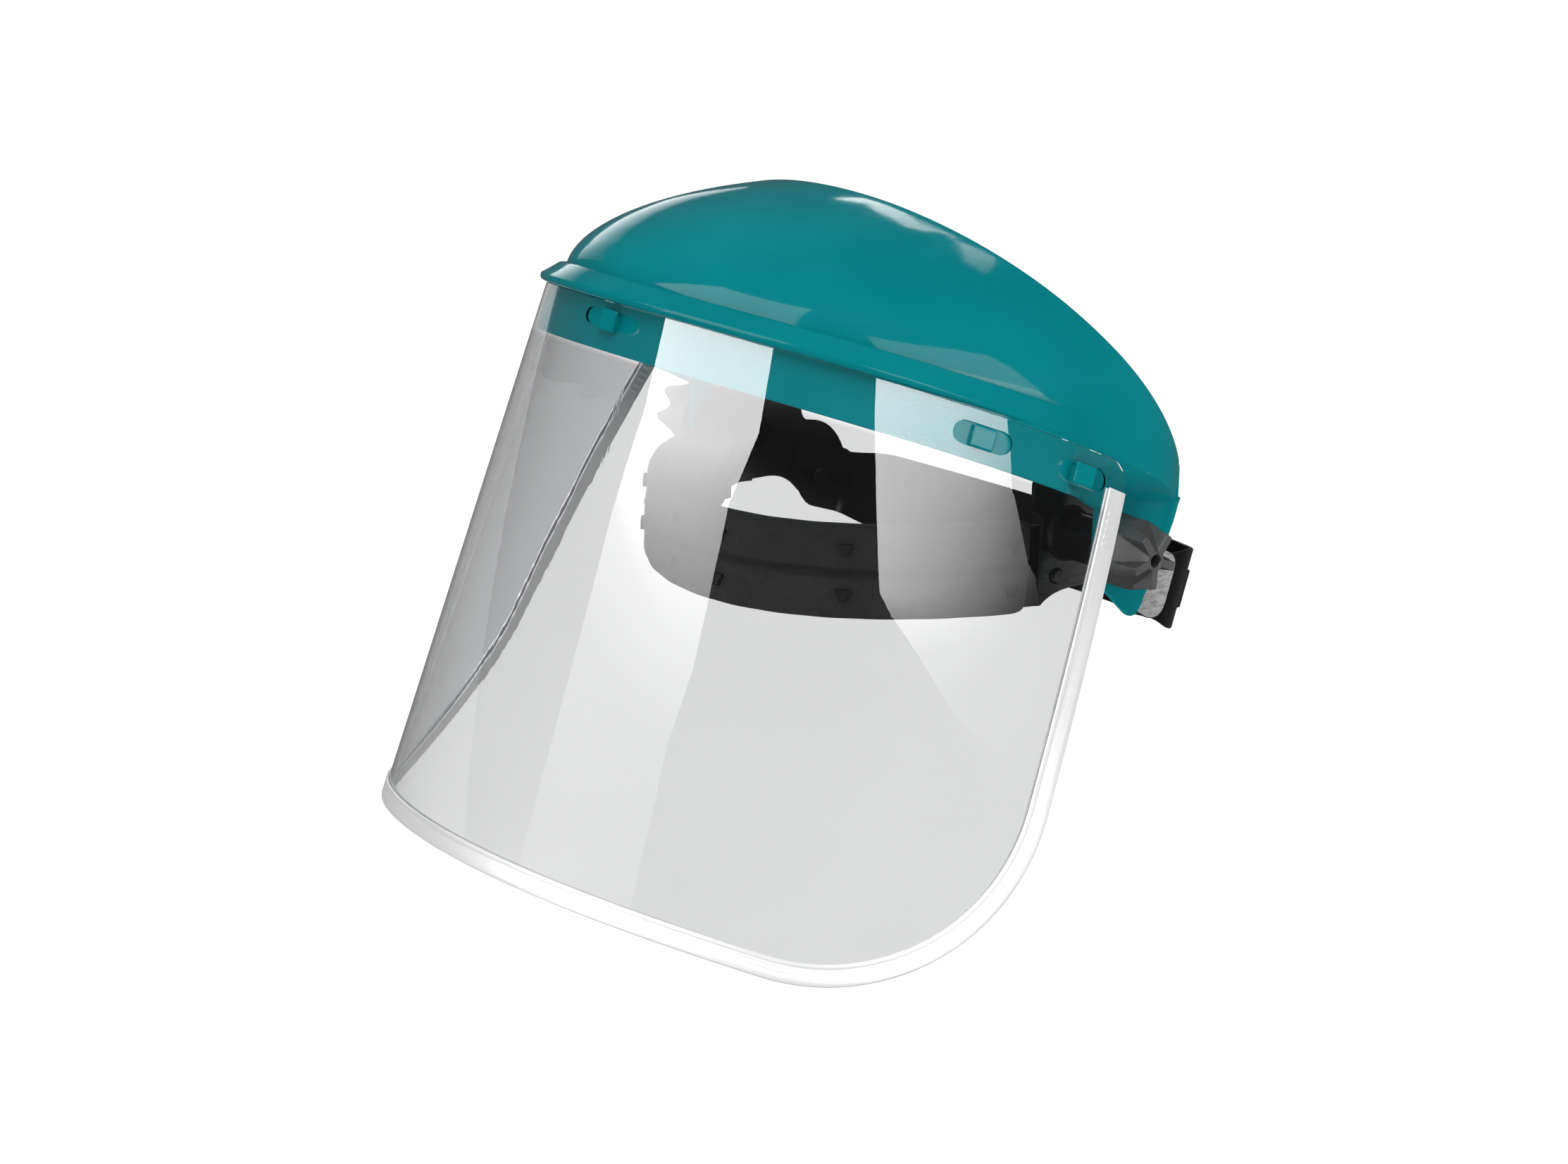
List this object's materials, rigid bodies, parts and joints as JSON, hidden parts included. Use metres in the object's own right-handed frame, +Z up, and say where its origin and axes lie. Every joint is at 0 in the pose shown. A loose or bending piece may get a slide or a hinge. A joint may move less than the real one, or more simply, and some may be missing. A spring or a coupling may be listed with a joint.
{
  "type": "face shield",
  "caption": "Face shield with a clear wrap-round visor in a metal edge binding, hung on a domed browguard that tilts on temple knobs over an adjustable padded head harness.",
  "frame": {"origin": "midpoint of the temple pivot axis, between the wearer's temples", "axes": "+Z up; the wearer faces -Y; +X is the wearer's left, along the temple pivot axis"},
  "size_m": [0.3098, 0.2862, 0.2403],
  "materials": {
    "shell_plastic": "high gloss teal moulded plastic",
    "clear_sheet": "clear polished plastic sheet",
    "binding_metal": "lightly brushed, folded channel",
    "strap_plastic": "smooth black flexible strap",
    "sweatband_cloth": "dark grey padded cloth",
    "fastener_steel": "blackened steel",
    "washer_plastic": "dull black fibre washer",
    "knob_plastic": "satin dark grey moulded plastic"
  },
  "bodies": {
    "headgear": {"front_band": "strap_plastic", "sweatband": "sweatband_cloth", "side_strap_left": "strap_plastic", "side_strap_right": "strap_plastic", "crown_peg": "strap_plastic", "size_peg_left": "strap_plastic", "size_peg_right": "strap_plastic", "strap_rivet_left": "strap_plastic", "strap_rivet_right": "strap_plastic", "pivot_bolt_left": "fastener_steel", "pivot_bolt_right": "fastener_steel", "friction_washer_left": "washer_plastic", "friction_washer_right": "washer_plastic"},
    "browguard": {"browguard_shell": "shell_plastic", "visor": "clear_sheet", "visor_binding": "binding_metal"},
    "left_knob": {"pivot_knob_left": "knob_plastic", "threaded_insert_left": "fastener_steel"},
    "right_knob": {"pivot_knob_right": "knob_plastic", "threaded_insert_right": "fastener_steel"},
    "nape": {"nape_strap": "strap_plastic"}
  },
  "joints": [
    {"name": "brow_tilt", "type": "hinge", "parent": "headgear", "child": "browguard", "pos_m": [0, 0, 0], "axis": [-1, 0, 0], "range_deg": [0, 90]},
    {"name": "left_knob_turn", "type": "hinge", "parent": "headgear", "child": "left_knob", "pos_m": [0.12, 0, 0], "axis": [1, 0, 0], "range_deg": [0, 360]},
    {"name": "right_knob_turn", "type": "hinge", "parent": "headgear", "child": "right_knob", "pos_m": [-0.12, 0, 0], "axis": [-1, 0, 0], "range_deg": [0, 360]},
    {"name": "size_adjust", "type": "slide", "parent": "headgear", "child": "nape", "axis": [0, 0.9646, -0.2639], "range_m": [-0.014, 0.008]}
  ]
}
